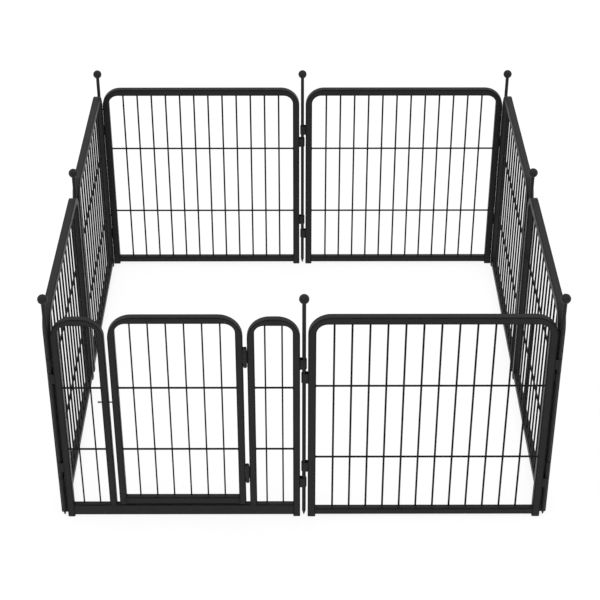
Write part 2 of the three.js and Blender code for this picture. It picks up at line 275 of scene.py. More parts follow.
def noise(nodes, links, vector, scale, detail=2.0, roughness=0.5):
    made = nodes.new("ShaderNodeTexNoise")
    made.inputs["Detail"].default_value = detail
    made.inputs["Roughness"].default_value = roughness
    links.new(vector, made.inputs["Vector"])
    if isinstance(scale, bpy.types.NodeSocket):
        links.new(scale, made.inputs["Scale"])
    else:
        made.inputs["Scale"].default_value = scale
    return made.outputs["Fac"]


def remap(nodes, links, value, low, high, out_low=0.0, out_high=1.0):
    made = nodes.new("ShaderNodeMapRange")
    made.interpolation_type = "SMOOTHSTEP"
    made.inputs["From Min"].default_value = low
    made.inputs["From Max"].default_value = high
    made.inputs["To Min"].default_value = out_low
    made.inputs["To Max"].default_value = out_high
    links.new(value, made.inputs["Value"])
    return made.outputs["Result"]


def math_node(nodes, links, operation, first, second):
    made = nodes.new("ShaderNodeMath")
    made.operation = operation
    for socket, value in zip(made.inputs, (first, second)):
        if isinstance(value, bpy.types.NodeSocket):
            links.new(value, socket)
        else:
            socket.default_value = value
    return made.outputs[0]


# %% Surface relief: orange peel and fine grain
def make_surface_relief():
    group, given, result = shader_group(
        "surface_relief",
        [("Vector", "NodeSocketVector", None), ("Peel Scale", "NodeSocketFloat", 700.0),
         ("Grain Scale", "NodeSocketFloat", 3200.0), ("Grain Share", "NodeSocketFloat", 0.3)],
        ["Height", "Mottle"])
    nodes, links = group.nodes, group.links
    vector = given.outputs["Vector"]
    peel = noise(nodes, links, vector, given.outputs["Peel Scale"])
    grain = noise(nodes, links, vector, given.outputs["Grain Scale"], detail=1.0)
    shared = math_node(nodes, links, "MULTIPLY", grain, given.outputs["Grain Share"])
    links.new(math_node(nodes, links, "ADD", peel, shared), result.inputs["Height"])
    broad = noise(nodes, links, vector, 16.0, detail=4.0, roughness=0.6)
    links.new(remap(nodes, links, broad, 0.32, 0.68), result.inputs["Mottle"])
    return group


surface_relief = make_surface_relief()
print("group", surface_relief.name)

# %% Rubbed edges, painted corner shade and settled dust
def make_edge_rub_and_shade():
    """Mask is the rubbed patches on the corners. The second output is painted shade over the whole
    corner, patches or not.
    """
    group, given, result = shader_group(
        "edge_rub_and_shade",
        [("Vector", "NodeSocketVector", None), ("Amount", "NodeSocketFloat", 0.5)],
        ["Mask", "Corner Shade"])
    nodes, links = group.nodes, group.links
    stored = nodes.new("ShaderNodeAttribute")
    stored.attribute_name = "rub_and_shade"
    patches = noise(nodes, links, given.outputs["Vector"], 60.0, detail=5.0, roughness=0.65)
    ridge = remap(nodes, links, stored.outputs["Fac"], 0.7, 1.0)
    worn = math_node(nodes, links, "MULTIPLY", ridge, remap(nodes, links, patches, 0.4, 0.7))
    mask = math_node(nodes, links, "MULTIPLY", worn, given.outputs["Amount"])
    links.new(mask, result.inputs["Mask"])
    # painted shade: every corner, and the whole of a thin bar, as a mask for the darker coat
    links.new(remap(nodes, links, stored.outputs["Fac"], 0.05, 0.6), result.inputs["Corner Shade"])
    return group


def make_settled_dust():
    group, given, result = shader_group(
        "settled_dust",
        [("Vector", "NodeSocketVector", None), ("Amount", "NodeSocketFloat", 0.5)],
        ["Mask"])
    nodes, links = group.nodes, group.links
    surface = nodes.new("ShaderNodeNewGeometry")
    split = nodes.new("ShaderNodeSeparateXYZ")
    links.new(surface.outputs["Normal"], split.inputs["Vector"])
    upward = remap(nodes, links, split.outputs["Z"], 0.35, 0.95)
    speckle = noise(nodes, links, given.outputs["Vector"], 240.0, detail=6.0, roughness=0.7)
    lying = math_node(nodes, links, "MULTIPLY", upward, remap(nodes, links, speckle, 0.3, 0.75))
    mask = math_node(nodes, links, "MULTIPLY", lying, given.outputs["Amount"])
    links.new(mask, result.inputs["Mask"])
    return group


edge_rub_and_shade = make_edge_rub_and_shade()
settled_dust = make_settled_dust()
print("groups", edge_rub_and_shade.name, settled_dust.name)


# %% One recipe for all finishes
class Finish:
    """A Principled material whose colour and roughness vary by the shared groups."""

    def __init__(self, name, base, metallic=0.0, specular=0.5):
        self.material = bpy.data.materials.new(name)
        self.material.use_nodes = True
        self.nodes = self.material.node_tree.nodes
        self.links = self.material.node_tree.links
        self.shader = self.nodes["Principled BSDF"]
        self.shader.inputs["Metallic"].default_value = metallic
        self.shader.inputs["Specular IOR Level"].default_value = specular
        self.material.diffuse_color = (*base, 1.0)
        self.place = self.nodes.new("ShaderNodeTexCoord").outputs["Object"]
        self.colour = None
        self.base = base

    def group(self, tree, **values):
        made = self.nodes.new("ShaderNodeGroup")
        made.node_tree = tree
        self.links.new(self.place, made.inputs["Vector"])
        for label, value in values.items():
            made.inputs[label.replace("_", " ")].default_value = value
        return made

    def tint(self, mask, colour):
        """Lays a colour over what is there, as much as the mask says."""
        mix = self.nodes.new("ShaderNodeMix")
        mix.data_type = "RGBA"
        self.links.new(mask, mix.inputs["Factor"])
        if self.colour is None:
            mix.inputs["A"].default_value = (*self.base, 1.0)
        else:
            self.links.new(self.colour, mix.inputs["A"])
        mix.inputs["B"].default_value = (*colour, 1.0)
        self.colour = mix.outputs["Result"]

    def between(self, mask, low, high):
        """A value that runs from low to high as the mask does."""
        return remap(self.nodes, self.links, mask, 0.0, 1.0, low, high)

    def combine(self, operation, first, second):
        return math_node(self.nodes, self.links, operation, first, second)

    def relief(self, height, strength, distance):
        bump = self.nodes.new("ShaderNodeBump")
        bump.inputs["Strength"].default_value = strength
        bump.inputs["Distance"].default_value = distance
        self.links.new(height, bump.inputs["Height"])
        self.links.new(bump.outputs["Normal"], self.shader.inputs["Normal"])

    def done(self, roughness):
        self.links.new(self.colour, self.shader.inputs["Base Color"])
        self.links.new(roughness, self.shader.inputs["Roughness"])
        return self.material


# %% [markdown]
# ## The powder coat
# The coat is a plain dielectric over near-black pigment: no metal shows. Its roughness drifts by
# a few hundredths over a hand's width, because the oven bakes it unevenly.

# %% Powder coat
coat_black = (0.0155, 0.0155, 0.0160)
coat_cloud = (0.0185, 0.0185, 0.0190)  # the paler patches of the mottling
# painted shade: near black, laid along every corner and round the wires
painted_corner_shade = (0.0022, 0.0022, 0.0023)
coat_rubbed = (0.026, 0.026, 0.027)
coat_dust = (0.12, 0.117, 0.110)


def make_powder_coat():
    finish = Finish("satin_black_powder_coat", coat_black, specular=0.10)
    relief = finish.group(surface_relief, Peel_Scale=620.0, Grain_Scale=3600.0, Grain_Share=0.35)
    rub_and_shade = finish.group(edge_rub_and_shade, Amount=0.55)
    dust = finish.group(settled_dust, Amount=0.10)
    finish.tint(relief.outputs["Mottle"], coat_cloud)
    # painted shade: the coat is darkened along corners and round the wires
    finish.tint(rub_and_shade.outputs["Corner Shade"], painted_corner_shade)
    finish.tint(rub_and_shade.outputs["Mask"], coat_rubbed)
    finish.tint(dust.outputs["Mask"], coat_dust)
    finish.relief(relief.outputs["Height"], strength=0.35, distance=0.06 * MM)
    mottled = finish.between(relief.outputs["Mottle"], 0.40, 0.48)
    smoother_when_rubbed = finish.combine("MULTIPLY", rub_and_shade.outputs["Mask"], -0.12)
    rougher_under_dust = finish.combine("MULTIPLY", dust.outputs["Mask"], 1.6)
    roughness = finish.combine("ADD", mottled, smoother_when_rubbed)
    return finish.done(finish.combine("ADD", roughness, rougher_under_dust))


powder_coat = make_powder_coat()
print("material", powder_coat.name)

# %% [markdown]
# ## Moulded plastic and zinc
# The plug feet are moulded black plastic, with the fine grain that a spark-eroded mould leaves.
# The bolt is zinc-plated steel, drawn along its length, so its fine lines run along X. It is the
# one piece on the pen that isn't black.

# %% Plug plastic and zinc plate
plug_black = (0.012, 0.012, 0.0125)
plug_cloud = (0.016, 0.016, 0.0165)
plug_rubbed = (0.045, 0.044, 0.043)
plug_dust = (0.18, 0.17, 0.155)
zinc_grey = (0.17, 0.172, 0.178)
zinc_cloud = (0.14, 0.14, 0.138)
zinc_rubbed = (0.30, 0.30, 0.305)


def make_plug_plastic():
    finish = Finish("moulded_plug_plastic", plug_black, specular=0.4)
    relief = finish.group(surface_relief, Peel_Scale=1900.0, Grain_Scale=5200.0, Grain_Share=0.6)
    rub_and_shade = finish.group(edge_rub_and_shade, Amount=0.7)
    dust = finish.group(settled_dust, Amount=0.18)
    finish.tint(relief.outputs["Mottle"], plug_cloud)
    finish.tint(rub_and_shade.outputs["Mask"], plug_rubbed)
    finish.tint(dust.outputs["Mask"], plug_dust)
    finish.relief(relief.outputs["Height"], strength=0.5, distance=0.08 * MM)
    return finish.done(finish.between(relief.outputs["Mottle"], 0.58, 0.7))


def make_zinc_plate():
    finish = Finish("bright_zinc_plate", zinc_grey, metallic=1.0)
    stretched = finish.nodes.new("ShaderNodeMapping")
    stretched.inputs["Scale"].default_value = (0.04, 1.0, 1.0)
    finish.links.new(finish.place, stretched.inputs["Vector"])
    finish.place = stretched.outputs["Vector"]
    relief = finish.group(surface_relief, Peel_Scale=2600.0, Grain_Scale=6000.0, Grain_Share=0.5)
    rub_and_shade = finish.group(edge_rub_and_shade, Amount=0.5)
    finish.tint(relief.outputs["Mottle"], zinc_cloud)
    finish.tint(rub_and_shade.outputs["Mask"], zinc_rubbed)
    finish.relief(relief.outputs["Height"], strength=0.3, distance=0.05 * MM)
    return finish.done(finish.between(relief.outputs["Mottle"], 0.26, 0.4))


plug_plastic = make_plug_plastic()
zinc_plate = make_zinc_plate()
finishes = {"powder_coat": powder_coat, "plug_plastic": plug_plastic, "zinc_plating": zinc_plate}
print("materials", sorted(finishes))

# %% [markdown]
# ## From a skin to a finished piece
# A piece is shaded smooth, with its flats kept flat by weighting normals by face area, and hard
# edges kept where faces meet sharply. It takes the place of its engineering node and rides on the
# same body, so it moves when the pen folds or the gate swings.

# %% Make a piece
sharp_edge = math.radians(42)  # faces that meet at more than this keep a hard edge


def settle(mesh, name):
    """Turns a bmesh into mesh data with its faces pointing out."""
    bmesh.ops.recalc_face_normals(mesh, faces=mesh.faces)
    data = bpy.data.meshes.new(name)
    mesh.to_mesh(data)
    mesh.free()
    return data


def add_piece(name, data, body, node, slot, place=Matrix.Identity(4)):
    data = data.copy()
    data.name = name
    data.transform(place)
    data.shade_smooth()
    data.set_sharp_from_angle(angle=sharp_edge)
    data.materials.append(finishes[slot])
    piece = bpy.data.objects.new(name, data)
    bpy.context.scene.collection.objects.link(piece)
    weighting = piece.modifiers.new("flat_faces_stay_flat", "WEIGHTED_NORMAL")
    weighting.keep_sharp = True
    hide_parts(node)
    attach(piece, body)
    return piece


print("finishes ready for pieces:", len(finishes))

# %% [markdown]
# ## Bent tube frames
# Each frame is one length of square tube bent twice into an upside-down U, open at both ends. A
# bend flattens the tube: its outer wall takes a wide curve and its inner wall a tight one, and
# both dish in a little. The section is stretched between the two walls' curves, along the U and
# back inside it, which gives the tube its real wall and open ends in one skin.

# %% Carry a tube section along an arch
bend_steps = 18
bend_dish = 0.55 * MM  # how far the outer wall sinks in at the middle of a bend
inner_dish_share = 0.6  # the inner wall sinks in by this share of it


def arch_stations(width, bottoms, top, tube, bend):
    """Facing points on an arch's outer and inner walls, and the share of the full dish there."""
    outer_radius, inner_radius = bend
    half = width / 2
    stations = [(Vector((-half, bottoms[0])), Vector((tube - half, bottoms[0])), 0.0)]
    for side, start in ((-1, math.pi), (1, math.pi / 2)):
        outer_centre = Vector((side * (half - outer_radius), top - outer_radius))
        inner_centre = Vector((side * (half - tube - inner_radius), top - tube - inner_radius))
        for i in range(bend_steps + 1):
            angle = start - math.pi / 2 * i / bend_steps
            out = Vector((math.cos(angle), math.sin(angle)))
            outer_point = outer_centre + out * outer_radius
            inner_point = inner_centre + out * inner_radius
            stations.append((outer_point, inner_point, math.sin(math.pi * i / bend_steps)))
    stations.append((Vector((half, bottoms[1])), Vector((half - tube, bottoms[1])), 0.0))
    return stations


def arch_ring(station, outline, tube):
    outer, inner, dish = station
    ring = []
    for out, across in outline:
        sunk = bend_dish * dish * max(0.0, 1 - (2 * across / tube) ** 2)
        reach = out - sunk if out > 0 else out + inner_dish_share * sunk
        x, z = inner.lerp(outer, 0.5 + reach / tube)
        ring.append(Vector((x, across, z)))
    return ring


def tube_arch(mesh, width, bottoms, top, tube, bend):
    outer, marks = rounded_outline(tube, tube, tube_corner)
    bore = tube - 2 * tube_wall
    inner, _ = rounded_outline(bore, bore, tube_corner - tube_wall)
    stations = arch_stations(width, bottoms, top, tube, bend)
    rings = [arch_ring(station, outer, tube) for station in stations]
    rings += [arch_ring(station, inner, tube) for station in reversed(stations)]
    loft(mesh, rings, marks, closed=True)


print("an arch's bend, outer and inner:", plain_bend, "in", bend_steps, "steps")

# %% [markdown]
# ## Strap loops
# The panels hang on the stakes by strips bent into loops, both ends welded to the leg. Each panel
# has two loops on one leg and two on the other at heights that nest between its neighbour's. The
# strip is its own centre line, given thickness on both sides and eased at its top and bottom.

# %% A strap loop
strap_steps = 20
strap_overlap = 0.5 * MM  # how far a strap's ends run into the leg's face
strap_ease = 0.3 * MM
strap_bead = 1.1 * MM
strap_bead_end = 2 * MM  # bare length of strap above and below its weld


def strap_loop(mesh, stake_x, side, height):
    """A loop round the stake at stake_x, welded to the leg on the other side from `side`."""
    middle = strap_bore + strap_thickness / 2
    reach = stake_to_leg + strap_overlap
    line = [(-reach, -middle, 0, -1)]
    for i in range(strap_steps + 1):
        angle = -math.pi / 2 + math.pi * i / strap_steps
        cos = math.cos(angle)
        sin = math.sin(angle)
        line.append((middle * cos, middle * sin, cos, sin))
    line.append((-reach, middle, 0, 1))
    rings = []
    for z, thinner in ((-1, strap_ease), (-1, 0), (1, 0), (1, strap_ease)):
        half = strap_thickness / 2 - thinner
        level = height + z * (strap_height / 2 - (strap_ease if thinner == 0 else 0))
        outline = [(x + half * nx, y + half * ny) for x, y, nx, ny in line]
        outline += [(x - half * nx, y - half * ny) for x, y, nx, ny in reversed(line)]
        rings.append([Vector((stake_x + side * x, y, level)) for x, y in outline])
    loft(mesh, rings)
    leg_face = stake_x - side * stake_to_leg
    half_weld = Vector((0, 0, strap_height / 2 - strap_bead_end))
    for y in (-1, 1):
        corner = Vector((leg_face, y * (strap_bore + strap_thickness), height))
        weld_bead(mesh, corner - half_weld, corner + half_weld, strap_bead)


def strap_pair(mesh, side, heights):
    for height in heights:
        strap_loop(mesh, side * stake_pitch / 2, side, height)


print("play round a stake in its loop:", round(strap_bore - stake_radius, 5))

# %% [markdown]
# ## Rails and feet
# The bottom rail is a smaller box tube between the legs, welded all round at both ends. A plug
# foot closes each leg: its flange stands on the floor and its barbed stem grips inside. Both
# could start as cubes with a Bevel modifier. Rings give the rail its hollow, the stem its barbs,
# and every corner its mark, so they are used here too.

# %% A box rail with welded ends
rail_inner_corner = 0.8 * MM
rail_bead = 1.25 * MM
rail_bead_end = 1.5 * MM  # bare length at each end of a rail's welds


def box_rail(mesh, length, depth, bottom, height, centre_x=0.0):
    outer, marks = rounded_outline(depth, height, tube_corner)
    bore_depth = depth - 2 * tube_wall
    inner, _ = rounded_outline(bore_depth, height - 2 * tube_wall, rail_inner_corner)
    middle = bottom + height / 2
    left = centre_x - length / 2
    right = centre_x + length / 2
    rings = [[Vector((x, y, middle + z)) for y, z in outer] for x in (left, right)]
    rings += [[Vector((x, y, middle + z)) for y, z in inner] for x in (right, left)]
    loft(mesh, rings, marks, closed=True)
    half_depth = depth / 2
    weld_low = bottom + rail_bead_end
    weld_high = bottom + height - rail_bead_end
    for x in (left, right):
        for y in (-half_depth, half_depth):
            weld_bead(mesh, (x, y, weld_low), (x, y, weld_high), rail_bead)
        for z in (bottom, bottom + height):
            start = (x, -half_depth + rail_bead_end, z)
            end = (x, half_depth - rail_bead_end, z)
            weld_bead(mesh, start, end, rail_bead)


# %% A plug foot
foot_flange = 3 * MM
foot_stem = 12 * MM
foot_corner = 2.2 * MM
foot_ease = 0.5 * MM
foot_barbs = 4
barb_height = 1.4 * MM


def plug_foot(mesh, tube, centre_x):
    stem = tube - 2 * tube_wall - 2 * seat
    narrower = 2 * foot_ease
    levels = [(0.0, tube - narrower), (foot_ease, tube), (foot_flange - foot_ease, tube),
              (foot_flange, tube - narrower), (foot_flange, stem - foot_ease)]
    for i in range(foot_barbs):
        low = foot_flange + foot_stem * (i + 0.25) / (foot_barbs + 0.5)
        levels += [(low, stem), (low + barb_height, stem - narrower)]
    levels.append((foot_flange + foot_stem, stem - 3 * foot_ease))
    rings = []
    for height, width in levels:
        outline, marks = rounded_outline(width, width, foot_corner)
        rings.append([Vector((centre_x + x, y, height)) for x, y in outline])
    loft(mesh, rings, marks)


print("height of a plug foot:", round(foot_flange + foot_stem, 4))

# %% [markdown]
# ## Wire grids
# Upright wires stand between the rail and the top bar, evenly spaced, with two cross wires
# resistance-welded to them on the outside of the pen. At each crossing the wires sink together
# and a little metal squeezes out. At each end a small collar of weld runs into the tube. Round
# wires are lofted, not left six-sided as in the engineering model.

# %% A grid of wires
def arch_underside(width, top, tube, bend, distance):
    """Height of the underside of an arch at a distance from its middle."""
    radius = bend[1]
    into_bend = distance - (width / 2 - tube - radius)
    if into_bend <= 0:
        return top - tube
    return top - tube - radius + math.sqrt(radius ** 2 - into_bend ** 2)


def crossing_weld(mesh, x, z, radius):
    """A squashed ball of metal, hidden in the wires but for the little that squeezes out."""
    swell = Matrix.Translation((x, 0, z)) @ Matrix.Diagonal((1.2, 1.0, 1.2, 1.0))
    bmesh.ops.create_uvsphere(mesh, u_segments=10, v_segments=6, radius=radius, matrix=swell)


def wire_grid(mesh, arch, uprights, bottom, cross_heights, centre_x=0.0):
    """Wires that fill an arch; the whole mesh is as deep as two wires, with y = 0 in its middle."""
    width, top, tube, bend = arch
    radius, pitch = uprights
    clear = width - 2 * tube
    count = math.floor((clear - 2 * wire_end_gap) / pitch) + 1
    inset = (radius + cross_radius - wire_sink) / 2
    whole = ((0.0, radius), (1.0, radius))
    for i in range(count):
        offset = (i - (count - 1) / 2) * pitch
        x = centre_x + offset
        high = arch_underside(width, top, tube, bend, abs(offset))
        rod(mesh, (x, inset, bottom), (x, inset, high), whole)
        wire_collar(mesh, (x, inset, bottom), (0, 0, 1), radius)
        wire_collar(mesh, (x, inset, high), (0, 0, -1), radius)
        for z in cross_heights:
            crossing_weld(mesh, x, z, radius)
    for z in cross_heights:
        left = (centre_x - clear / 2, -inset, z)
        right = (centre_x + clear / 2, -inset, z)
        rod(mesh, left, right, ((0.0, cross_radius), (1.0, cross_radius)))
        wire_collar(mesh, left, (1, 0, 0), cross_radius)
        wire_collar(mesh, right, (-1, 0, 0), cross_radius)
    return count


# %% [markdown]
# ## Plain panels
# The seven plain panels come off the same jig, so each piece is made once and copied to its place
# in the ring. Linked duplicates would save memory, but every piece rides on its own panel's body,
# so each gets mesh data that is already turned to its side of the ring.

# %% Make the plain panel's pieces once
plain_rail_low, plain_rail_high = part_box("front_right_bottom_rail")
plain_cross = (189.5 * MM, 408 * MM)
plain_arch = (panel_width, panel_top, plain_tube, plain_bend)


def plain_frame():
    mesh = bmesh.new()
    bottoms = (leg_bottom, leg_bottom)
    tube_arch(mesh, panel_width, bottoms, panel_top, plain_tube, plain_bend)
    strap_pair(mesh, 1, strap_heights_far)
    strap_pair(mesh, -1, strap_heights_near)
    return settle(mesh, "plain_frame")


def plain_rail():
    mesh = bmesh.new()
    rail = plain_rail_high - plain_rail_low
    box_rail(mesh, rail.x, rail.y, plain_rail_low.z, rail.z)
    return settle(mesh, "plain_rail")


def plain_grid():
    mesh = bmesh.new()
    count = wire_grid(mesh, plain_arch, plain_uprights, plain_rail_high.z, plain_cross)
    print("upright wires in a plain panel:", count)
    return settle(mesh, "plain_grid")


def foot(tube, centre_x):
    mesh = bmesh.new()
    plug_foot(mesh, tube, centre_x)
    return settle(mesh, "foot")


plain_foot_x = (panel_width - plain_tube) / 2
plain_pieces = {
    "frame": (plain_frame(), "powder_coat", "tube_frame"),
    "bottom_rail": (plain_rail(), "powder_coat", "box_rail"),
    "wire_grid": (plain_grid(), "powder_coat", "wires"),
    "foot_a": (foot(plain_tube, -plain_foot_x), "plug_plastic", "plug_foot_a"),
    "foot_b": (foot(plain_tube, plain_foot_x), "plug_plastic", "plug_foot_b"),
}
print("points in a plain frame:", len(plain_pieces["frame"][0].vertices))

# %% Copy the plain panel round the ring
sides = {"front": 0, "right": 1, "back": 2, "left": 3}


def panel_place(rail_node, side):
    """Turns a panel to its side of the ring and moves it to the middle of its rail."""
    middle = centre_of(rail_node)
    turn = Matrix.Rotation(math.pi / 2 * side, 4, "Z")
    return Matrix.Translation((middle.x, middle.y, 0)) @ turn


plain_panels = ["front_right", "right_front", "right_back", "back_right",
                "back_left", "left_back", "left_front"]
for panel in plain_panels:
    place = panel_place(f"{panel}_bottom_rail", sides[panel.split("_")[0]])
    for kind, (data, slot, label) in plain_pieces.items():
        add_piece(f"{panel}_{label}", data, f"{panel}_panel", f"{panel}_{kind}", slot, place)
print("plain panels placed:", len(plain_panels))

# %% [markdown]
# ## The door panel
# Two narrow arches stand on one taller rail: their outer legs reach the floor and their inner
# legs are welded to the top of the rail. The left one is bored for the bolt, as the gate's leg
# is. The right one carries the middle knuckles of the gate's hinges.

# %% Places in the door panel
door_place = panel_place("door_bottom_rail", sides["front"])
door_x = centre_of("door_bottom_rail").x
door_rail_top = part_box("door_bottom_rail")[1].z
door_cross = (214.5 * MM, 402.5 * MM)
arch_width = size_of("door_left_wires").x + 2 * (door_tube + seat)
arch_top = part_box("door_left_arch")[1].z
gate_width = size_of("gate_bottom_rail").x + 2 * (door_tube + seat)
gate_x = centre_of("gate_bottom_rail").x - door_x
gate_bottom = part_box("gate_frame")[0].z
hinge_axis = joint_places["gate_hinge"] - Vector((door_x, -stake_pitch, 0))
bolt_axis = centre_of("latch_pin") - Vector((door_x, -stake_pitch, 0))
print("arch", round(arch_width, 4), "gate", round(gate_width, 4), "hinge", hinge_axis.to_tuple(4))

# %% [markdown]
# ## Gate hinges and bolt
# Each hinge is three knuckles on a headed pin: the middle one belongs to the arch, the outer two
# to the gate. A knuckle is a turned ring with its bore, and a short plate joins it to the tube.
# The bolt is a turned rod with a button head, a collar inside the post and an eased nose.

# %% A knuckle and its plate
pin_radius = 2 * MM
knuckle_radius = 4.6 * MM
knuckle_bore = 2.35 * MM
middle_knuckle = 37 * MM
end_knuckle = 9 * MM
knuckle_ease = 0.35 * MM
plate_thickness = 2.6 * MM
plate_start = 2.7 * MM  # from the axis, so the plate begins inside the knuckle's wall
plate_overlap = 0.4 * MM  # how far the plate runs into the tube
plate_ease = 0.4 * MM
small_bead = 0.9 * MM  # on the hinge plates, and under the arches' inner legs
small_bead_end = 1 * MM
hinge_gap = 2 * (hinge_axis.x - (gate_x + gate_width / 2))


def knuckle(mesh, side, low, high):
    """A knuckle on the hinge axis, with its plate towards +X for side 1 and -X for side -1."""
    bore, radius, ease = knuckle_bore, knuckle_radius, knuckle_ease
    outline = [(bore, low + ease), (bore + ease, low), (radius - ease, low), (radius, low + ease),
               (radius, high - ease), (radius - ease, high), (bore + ease, high), (bore, high - ease)]
    turned_ring(mesh, outline, Matrix.Translation((hinge_axis.x, hinge_axis.y, 0)))
    back = hinge_axis.y + radius
    middle = Vector((hinge_axis.x, back - plate_thickness / 2, (low + high) / 2))
    plate, marks = rounded_outline(plate_thickness, high - low - plate_ease, plate_ease)
    rings = []
    for x in (plate_start, hinge_gap / 2 + plate_overlap):
        rings.append([middle + Vector((side * x, y, z)) for y, z in plate])
    loft(mesh, rings, marks)
    face = hinge_axis.x + side * hinge_gap / 2
    weld_low = (face, back, low + small_bead_end)
    weld_high = (face, back, high - small_bead_end)
    weld_bead(mesh, weld_low, weld_high, small_bead)


hinge_heights = [centre_of(f"gate_hinge_pin_{level}").z for level in ("lower", "upper")]
print("hinges at", [round(z, 4) for z in hinge_heights], "gap", round(hinge_gap, 4))

# %% [markdown]
# ## Holes for the bolt
# The bolt passes through the arch's inner leg and, when it is shut, into the gate's leg. Both
# need a hole, or the bolt would run into solid wall. Rings can't make a hole in a tube's side, so
# a Boolean modifier drills it, and its result is kept as plain mesh data.

# %% Bore a hole for the bolt
bolt_radius = 2 * MM
bolt_bore = 2.4 * MM


def bored(mesh, low_x, high_x):
    """Cuts the bolt's hole through a tube's skin, from low_x to high_x, and returns the new skin."""
    drill = bmesh.new()
    start = (low_x, bolt_axis.y, bolt_axis.z)
    end = (high_x, bolt_axis.y, bolt_axis.z)
    rod(drill, start, end, ((0.0, bolt_bore), (1.0, bolt_bore)), sides=24)
    cutter = bpy.data.objects.new("bore_cutter", settle(drill, "bore_cutter"))
    blank = bpy.data.objects.new("bore_blank", settle(mesh, "bore_blank"))
    for item in (cutter, blank):
        bpy.context.scene.collection.objects.link(item)
    cut = blank.modifiers.new("bore", "BOOLEAN")
    cut.operation = "DIFFERENCE"
    cut.solver = "EXACT"
    cut.object = cutter
    result = bpy.data.meshes.new_from_object(blank.evaluated_get(bpy.context.evaluated_depsgraph_get()))
    for item in (cutter, blank):
        bpy.data.objects.remove(item)
    skin = bmesh.new()
    skin.from_mesh(result)
    print("points in the bored tube:", len(skin.verts))
    return skin


# %% The arches
def door_arch(name, side):
    mesh = bmesh.new()
    rail_top = door_rail_top + seat
    bottoms = (leg_bottom, rail_top) if side < 0 else (rail_top, leg_bottom)
    tube_arch(mesh, arch_width, bottoms, arch_top, door_tube, arch_bend)
    centre = side * (panel_width - arch_width) / 2
    bmesh.ops.translate(mesh, verts=mesh.verts, vec=(centre, 0, 0))
    inner_leg = centre - side * (arch_width - door_tube) / 2
    if side < 0:
        mesh = bored(mesh, inner_leg - door_tube, inner_leg + door_tube)
    half = door_tube / 2 - tube_corner
    for y in (-door_tube / 2, door_tube / 2):
        start = (inner_leg - half, y, rail_top)
        end = (inner_leg + half, y, rail_top)
        weld_bead(mesh, start, end, small_bead)
    strap_pair(mesh, side, strap_heights_far if side > 0 else strap_heights_near)
    if side > 0:
        for z in hinge_heights:
            knuckle(mesh, 1, z - middle_knuckle / 2, z + middle_knuckle / 2)
    return settle(mesh, name)


left_arch = door_arch("left_arch", -1)
right_arch = door_arch("right_arch", 1)
print("points in the left arch:", len(left_arch.vertices))


# %% The gate frame
def gate_frame_skin():
    mesh = bmesh.new()
    tube_arch(mesh, gate_width, (gate_bottom, gate_bottom), panel_top, door_tube, gate_bend)
    bmesh.ops.translate(mesh, verts=mesh.verts, vec=(gate_x, 0, 0))
    gate_left = gate_x - gate_width / 2
    mesh = bored(mesh, gate_left - door_tube / 2, gate_left + door_tube / 2)
    near = middle_knuckle / 2 + seat
    for z in hinge_heights:
        knuckle(mesh, -1, z + near, z + near + end_knuckle)
        knuckle(mesh, -1, z - near - end_knuckle, z - near)
    return settle(mesh, "gate_frame")


# %% Rails, wires and feet of the door panel
def rail_piece(node, centre_x):
    low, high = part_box(node)
    mesh = bmesh.new()
    box_rail(mesh, high.x - low.x, high.y - low.y, low.z, high.z - low.z, centre_x)
    return settle(mesh, node)


def grid_piece(arch, uprights, bottom, centre_x):
    mesh = bmesh.new()
    wire_grid(mesh, arch, uprights, bottom, door_cross, centre_x)
    return settle(mesh, "grid")


arch_sizes = (arch_width, arch_top, door_tube, arch_bend)
gate_sizes = (gate_width, panel_top, door_tube, gate_bend)
arch_x = (panel_width - arch_width) / 2
gate_rail_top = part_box("gate_bottom_rail")[1].z
door_foot_x = (panel_width - door_tube) / 2
print("top of the door's rail", round(door_rail_top, 4), "of the gate's", round(gate_rail_top, 4))

# %% The hinge pins
pin_head = 4 * MM  # radius
pin_dome = 1.1 * MM  # height of the domed part of a head
dome_steps = 5


def hinge_pin(height):
    """A headed pin, its heads domed and its shaft running through all three knuckles."""
    mesh = bmesh.new()
    end = size_of("gate_hinge_pin_lower").z / 2
    shoulder = middle_knuckle / 2 + end_knuckle + 2 * seat
    half = [(pin_radius, shoulder), (pin_head * 0.95, shoulder),
            (pin_head, shoulder + 0.2 * MM), (pin_head, end - pin_dome)]
    for i in range(1, dome_steps):
        angle = math.pi / 2 * i / dome_steps
        half.append((pin_head * math.cos(angle), end - pin_dome + pin_dome * math.sin(angle)))
    outline = [(0.0, -end)] + [(r, -z) for r, z in reversed(half)] + half + [(0.0, end)]
    # the mark of 0.4 lays part of the painted corner shade over the whole pin
    lathe(mesh, outline, place=Matrix.Translation((hinge_axis.x, hinge_axis.y, height)), mark=0.4)
    return settle(mesh, "hinge_pin")


# %% The bolt
bolt_head = 2.6 * MM  # radius
bolt_head_length = 6.3 * MM
bolt_travel_gap = 4.3 * MM  # between the head and the post while the bolt is drawn back
collar_radius = 3.8 * MM
collar_length = 3 * MM
collar_ease = 0.3 * MM


